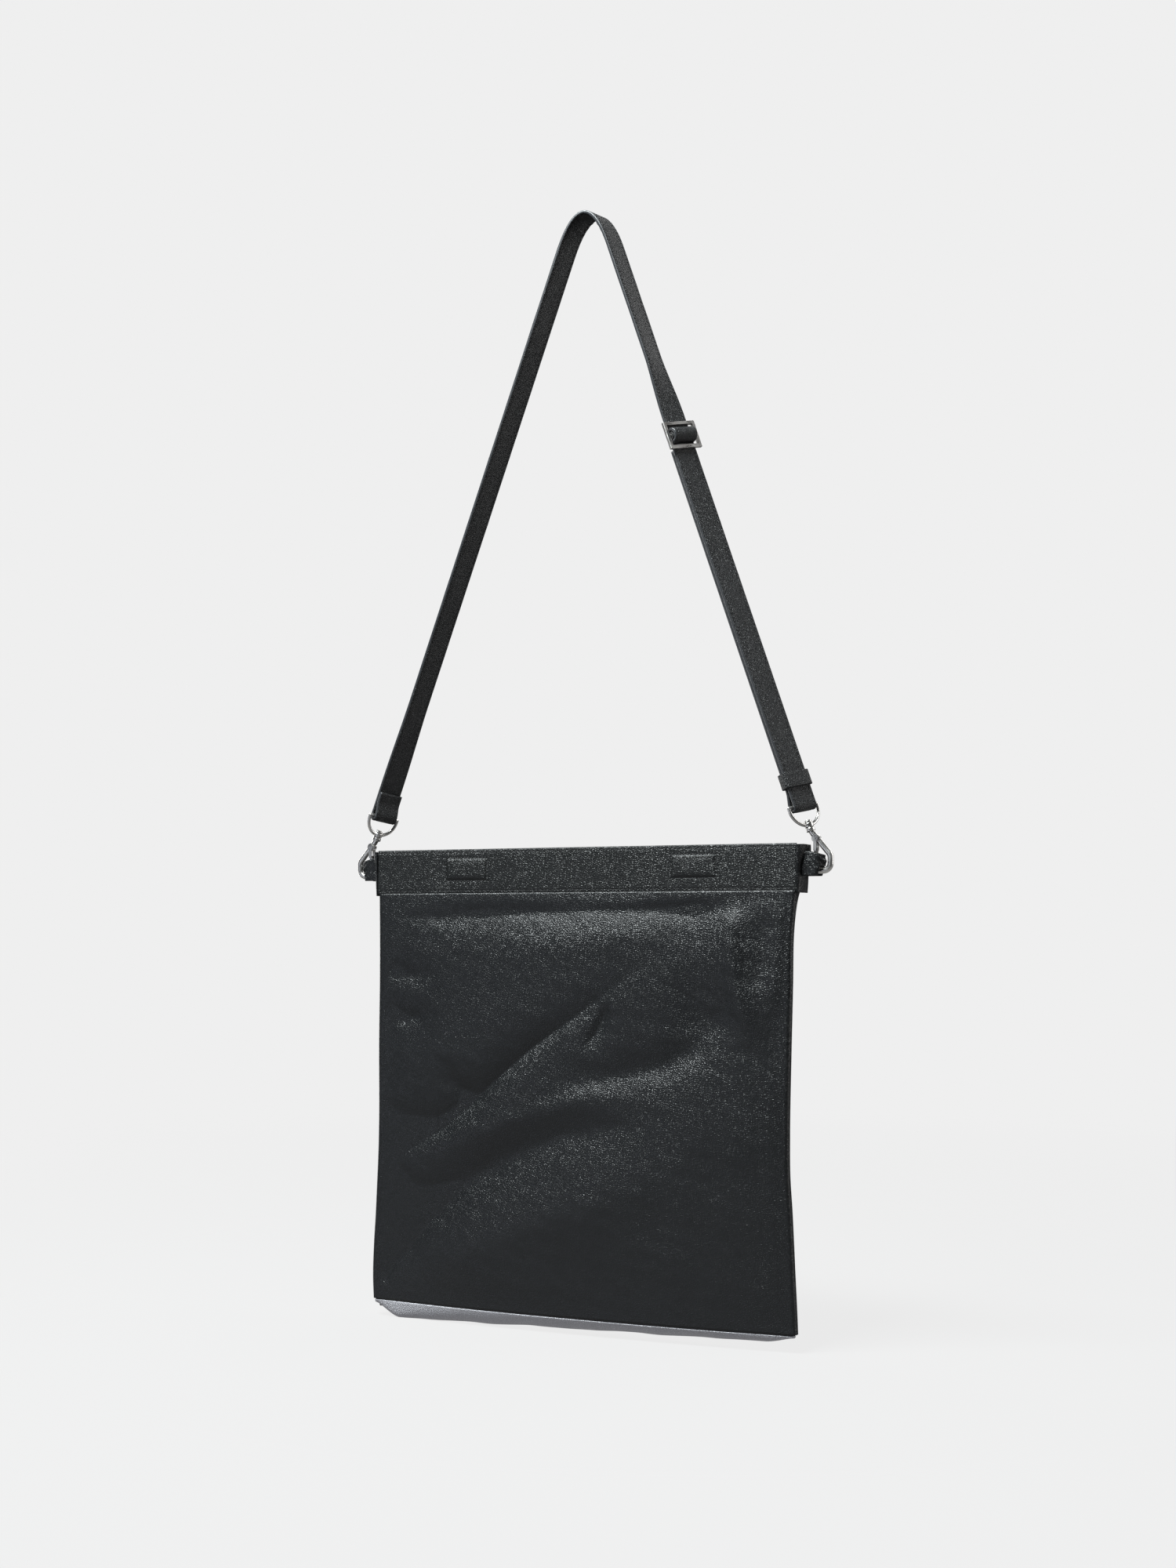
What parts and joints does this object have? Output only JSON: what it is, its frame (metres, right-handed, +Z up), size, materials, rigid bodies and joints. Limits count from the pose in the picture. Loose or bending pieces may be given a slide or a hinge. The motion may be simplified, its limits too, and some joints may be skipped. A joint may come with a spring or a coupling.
{
  "type": "shoulder bag",
  "caption": "Tall soft shoulder bag with a stiff magnetic band at its mouth, hung from an adjustable strap by two swivel clasps.",
  "frame": {"origin": "inside of the strap's top bend, in the middle of the strap's width, where the bag hangs from a hook, rail or hand", "axes": "+Z up against the pull of the strap, -Y out of the bag's front, +X to the right as the front is looked at"},
  "size_m": [0.4539, 0.0393, 0.9742],
  "materials": {
    "body_leather": "soft black pebbled leather, satin",
    "band_leather": "firm black pebbled leather, satin",
    "facing_leather": "smooth black leather",
    "tab_leather": "soft black leather, creased",
    "strap_leather": "black pebbled leather with painted edges",
    "piping_leather": "black rolled edge",
    "lining_cloth": "dark woven cotton",
    "satin_nickel": "satin nickel plate",
    "magnet": "nickel plated magnet",
    "spring_steel": "bright spring wire"
  },
  "bodies": {
    "root": {"strap": "strap_leather", "strap_sewn_tail": "strap_leather"},
    "slider": {"slider": "satin_nickel", "strap_roll": "strap_leather", "strap_end_loop": "strap_leather"},
    "keeper": {"keeper": "strap_leather"},
    "bag": {"front_panel": "body_leather", "back_panel": "body_leather", "bottom_panel": "body_leather", "lining": "lining_cloth", "bottom_piping": "piping_leather", "left_end_gusset": "body_leather", "right_end_gusset": "body_leather", "left_tab": "tab_leather", "right_tab": "tab_leather"},
    "front_band": {"front_band": "band_leather", "front_band_facing": "facing_leather", "front_magnets": "magnet"},
    "back_band": {"back_band": "band_leather", "back_band_facing": "facing_leather", "back_magnets": "magnet"},
    "left_loop": {"left_d_loop": "satin_nickel"},
    "left_hook": {"left_hook": "satin_nickel", "left_swivel_rivet": "satin_nickel", "left_gate_pin": "satin_nickel", "left_gate_spring": "spring_steel"},
    "left_gate": {"left_gate": "satin_nickel"},
    "right_loop": {"right_d_loop": "satin_nickel"},
    "right_hook": {"right_hook": "satin_nickel", "right_swivel_rivet": "satin_nickel", "right_gate_pin": "satin_nickel", "right_gate_spring": "spring_steel"},
    "right_gate": {"right_gate": "satin_nickel"}
  },
  "joints": [
    {"name": "bag_swing", "type": "hinge", "parent": "root", "child": "bag", "pos_m": [-0.00781, 0.0002, -0.57782], "axis": [1, 0, 0], "range_deg": [-6, 6]},
    {"name": "front_band_tilt", "type": "hinge", "parent": "bag", "child": "front_band", "pos_m": [-0.00781, -0.0101, -0.59822], "axis": [1, 0, 0], "range_deg": [-12, 25], "stiffness_Nm_per_rad": 0.08},
    {"name": "back_band_tilt", "type": "hinge", "parent": "bag", "child": "back_band", "pos_m": [-0.00781, 0.0105, -0.59822], "axis": [1, 0, 0], "range_deg": [-25, 12], "stiffness_Nm_per_rad": 0.08},
    {"name": "slider_travel", "type": "slide", "parent": "root", "child": "slider", "axis": [-0.3256, 0, 0.9455], "range_m": [-0.01, 0.01]},
    {"name": "keeper_travel", "type": "slide", "parent": "root", "child": "keeper", "axis": [-0.3256, 0, 0.9455], "range_m": [-0.0005, 0.24]},
    {"name": "left_loop_swing", "type": "hinge", "parent": "root", "child": "left_loop", "pos_m": [-0.20787, 0.0002, -0.52742], "axis": [0.4178, 0.8951, -0.1559], "range_deg": [0, 1]},
    {"name": "left_hook_swivel", "type": "hinge", "parent": "left_loop", "child": "left_hook", "pos_m": [-0.20787, 0.0002, -0.52742], "axis": [-0.3496, 0, -0.9369], "range_deg": [-4, 4]},
    {"name": "left_gate_turn", "type": "hinge", "parent": "left_hook", "child": "left_gate", "pos_m": [-0.22001, 0.0002, -0.55422], "axis": [0, 1, 0], "range_deg": [0, 7], "stiffness_Nm_per_rad": 0.02, "springref_deg": -20.05},
    {"name": "right_loop_swing", "type": "hinge", "parent": "root", "child": "right_loop", "pos_m": [0.1927, 0.0002, -0.52726], "axis": [-0.5354, -0.8242, -0.1843], "range_deg": [0, 1]},
    {"name": "right_hook_swivel", "type": "hinge", "parent": "right_loop", "child": "right_hook", "pos_m": [0.1927, 0.0002, -0.52726], "axis": [0.3256, 0, -0.9455], "range_deg": [-4, 4]},
    {"name": "right_gate_turn", "type": "hinge", "parent": "right_hook", "child": "right_gate", "pos_m": [0.20439, 0.0002, -0.55422], "axis": [0, -1, 0], "range_deg": [0, 7], "stiffness_Nm_per_rad": 0.02, "springref_deg": -20.05}
  ]
}
